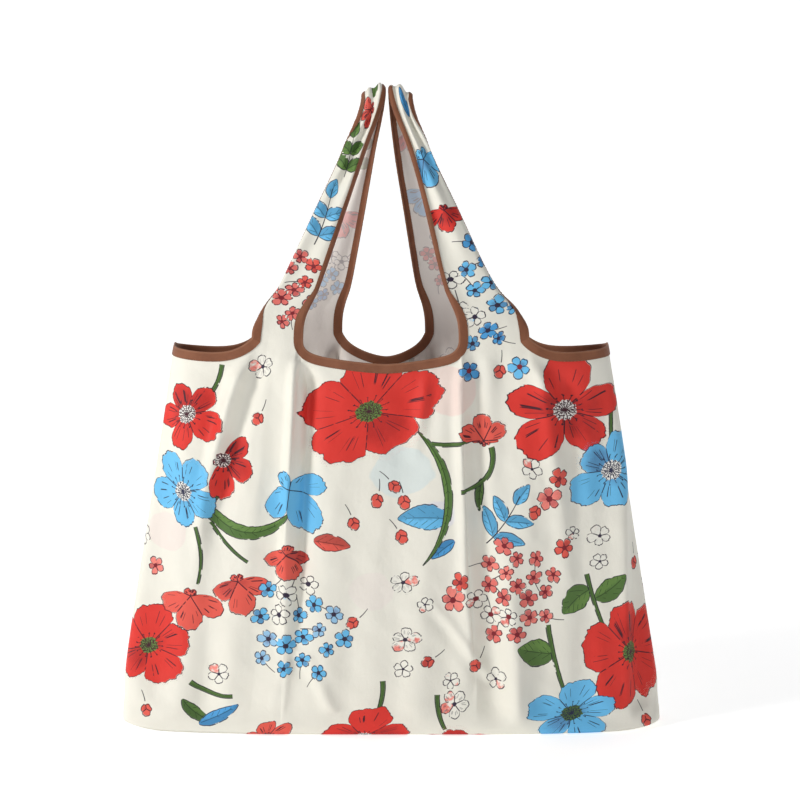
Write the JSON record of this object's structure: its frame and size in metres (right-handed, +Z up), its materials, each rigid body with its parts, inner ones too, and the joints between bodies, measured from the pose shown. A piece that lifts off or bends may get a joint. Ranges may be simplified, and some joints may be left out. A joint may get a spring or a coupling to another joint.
{
  "type": "foldable tote bag",
  "caption": "Foldable cloth tote bag with boxed corners, two shoulder handles cut in one with the panels, taped edges and a storage pouch inside.",
  "frame": {"origin": "centre of the flat base, on the surface the bag stands on", "axes": "+Z up, +X to the bag's right as seen from its front, front faces -Y"},
  "size_m": [0.5412, 0.1012, 0.6543],
  "materials": {
    "printed_polyester": "thin cream polyester with a floral print, slight sheen",
    "seam_cloth": "cream polyester seam allowance",
    "brown_binding": "brown woven bias tape",
    "black_webbing": "matt black narrow webbing"
  },
  "bodies": {
    "bag": {"front_panel": "printed_polyester", "back_panel": "printed_polyester", "front_mouth_binding": "brown_binding", "back_mouth_binding": "brown_binding", "left_armhole_binding": "brown_binding", "right_armhole_binding": "brown_binding", "left_side_seam": "seam_cloth", "right_side_seam": "seam_cloth", "left_corner_seam": "seam_cloth", "right_corner_seam": "seam_cloth", "bottom_seam": "seam_cloth", "pouch_tab": "printed_polyester"},
    "left_handle": {"left_front_strap": "printed_polyester", "left_back_strap": "printed_polyester", "left_handle_inner_binding": "brown_binding", "left_handle_outer_binding": "brown_binding", "left_shoulder_seam": "seam_cloth"},
    "right_handle": {"right_front_strap": "printed_polyester", "right_back_strap": "printed_polyester", "right_handle_inner_binding": "brown_binding", "right_handle_outer_binding": "brown_binding", "right_shoulder_seam": "seam_cloth"},
    "pouch": {"pouch_back_leaf": "printed_polyester", "pouch_front_leaf": "printed_polyester", "pouch_hem": "printed_polyester", "pouch_side_seam": "seam_cloth", "loop_bartack": "black_webbing"},
    "loop": {"pouch_loop": "black_webbing"}
  },
  "joints": [
    {"name": "left_handle_swing", "type": "hinge", "parent": "bag", "child": "left_handle", "pos_m": [-0.139, 0, 0.402], "axis": [0, -1, 0], "range_deg": [0, 110]},
    {"name": "right_handle_swing", "type": "hinge", "parent": "bag", "child": "right_handle", "pos_m": [0.139, 0, 0.402], "axis": [0, 1, 0], "range_deg": [0, 110]},
    {"name": "pouch_swing", "type": "hinge", "parent": "bag", "child": "pouch", "pos_m": [0, 0.037, 0.362], "axis": [-1, 0, 0], "range_deg": [0, 115]},
    {"name": "loop_swing", "type": "hinge", "parent": "pouch", "child": "loop", "pos_m": [0.047, 0.0266, 0.356], "axis": [-1, 0, 0], "range_deg": [0, 75]}
  ]
}
